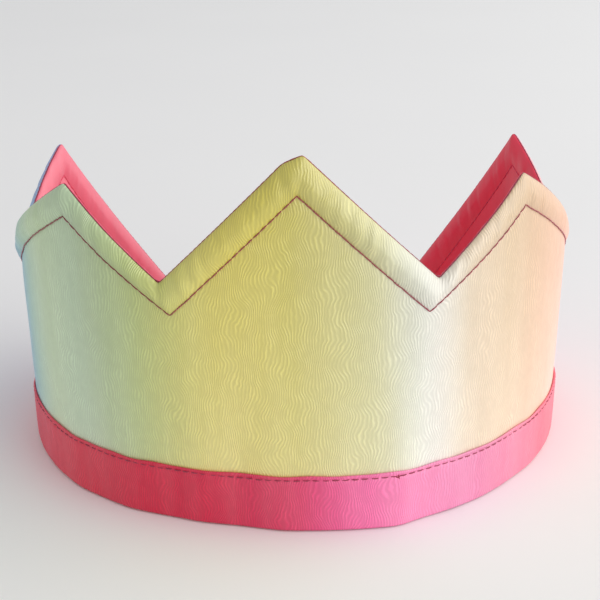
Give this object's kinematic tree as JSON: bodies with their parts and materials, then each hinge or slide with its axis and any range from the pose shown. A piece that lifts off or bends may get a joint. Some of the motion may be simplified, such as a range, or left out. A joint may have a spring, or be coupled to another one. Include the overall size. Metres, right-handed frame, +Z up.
{
  "type": "fabric crown",
  "caption": "Soft dress-up crown: a stiffened, lined cloth panel cut into points, bound along its lower edge and closed at the back by an elastic strap in a gathered casing.",
  "frame": {"origin": "centre of the crown's plan, on the surface it stands on", "axes": "+Z up through the points; -Y is the front, with the tallest point; +Y is the back, with the strap; +X is the wearer's left"},
  "size_m": [0.184, 0.1658, 0.1183],
  "materials": {
    "outer_cloth": "satin with a fine wavy emboss, dyed in a pastel rainbow that runs round the crown",
    "lining_cloth": "plain hot pink satin",
    "band_cloth": "hot pink satin with a fine wavy emboss",
    "felt": "stiff felt",
    "thread": "twisted sewing thread",
    "elastic_webbing": "woven elastic"
  },
  "bodies": {
    "crown": {"outer_panel": "outer_cloth", "lining_panel": "lining_cloth", "stiffener": "felt", "bottom_band": "band_cloth", "point_topstitch_outer": "thread", "point_topstitch_inner": "thread", "band_stitch_outer": "thread", "band_stitch_inner": "thread", "strap_tack_left_outer": "thread", "strap_tack_left_inner": "thread", "strap_tack_right_outer": "thread", "strap_tack_right_inner": "thread"},
    "strap": {"elastic_casing": "band_cloth", "elastic": "elastic_webbing"}
  },
  "joints": [
    {"name": "elastic_stretch", "type": "slide", "parent": "crown", "child": "strap", "axis": [0, 1, 0], "range_m": [0, 0.035], "stiffness_N_per_m": 150}
  ]
}
